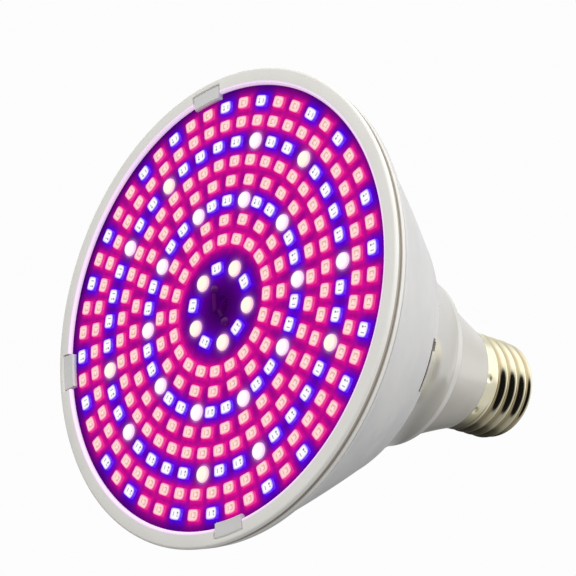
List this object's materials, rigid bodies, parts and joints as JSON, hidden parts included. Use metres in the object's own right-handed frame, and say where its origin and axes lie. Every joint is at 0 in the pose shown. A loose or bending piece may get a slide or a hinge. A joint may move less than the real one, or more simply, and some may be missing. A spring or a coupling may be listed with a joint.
{
  "type": "grow light bulb",
  "caption": "Flood-shaped LED grow light bulb: a round board of red, blue and white LEDs in a white cone housing on a twist-locked driver neck with an E27 screw base.",
  "frame": {"origin": "centre of the circle on which the front ring stands, at the foot of the lamp's axis", "axes": "+Z along the lamp's axis from the LED face to the screw base's contact; +X and +Y across the face"},
  "size_m": [0.118, 0.118, 0.1072],
  "materials": {
    "white_plastic": "satin moulded",
    "neck_plastic": "glossy moulded",
    "board": "white solder mask on aluminium, lit by the LEDs",
    "red_led": "lit phosphor-free red LED",
    "blue_led": "lit blue LED",
    "warm_led": "lit warm white LED",
    "cool_led": "lit cool white LED",
    "solder": "bright solder",
    "cup": "drawn sheet",
    "shell": "nickel-plated brass",
    "insulator": "black moulded",
    "contact": "nickel-plated brass",
    "driver_board": "solder mask",
    "ferrite": "sintered",
    "coil_tape": "tape",
    "capacitor_sleeve": "shrink sleeve",
    "film_case": "dipped",
    "copper_wire": "enamelled copper",
    "chip_case": "moulded",
    "resistor_body": "lacquer",
    "red_wire": "insulation",
    "black_wire": "insulation",
    "white_wire": "insulation"
  },
  "bodies": {
    "root": {"front_ring": "white_plastic", "housing": "white_plastic", "led_board": "board", "red_leds": "red_led", "blue_leds": "blue_led", "warm_white_leds": "warm_led", "cool_white_leds": "cool_led", "solder_joints": "solder", "heat_cup": "cup", "driver_housing": "neck_plastic", "screw_shell": "shell", "insulator": "insulator", "centre_contact": "contact", "driver_board": "driver_board", "transformer_core": "ferrite", "transformer_coil": "coil_tape", "input_capacitor": "capacitor_sleeve", "output_capacitor": "capacitor_sleeve", "film_capacitor": "film_case", "inductor_core": "ferrite", "inductor_coil": "copper_wire", "bridge_rectifier": "chip_case", "driver_chip": "chip_case", "fuse_resistor": "resistor_body", "chip_resistors": "chip_case", "positive_wire": "red_wire", "negative_wire": "black_wire", "live_wire": "white_wire", "neutral_wire": "white_wire"}
  },
  "joints": []
}
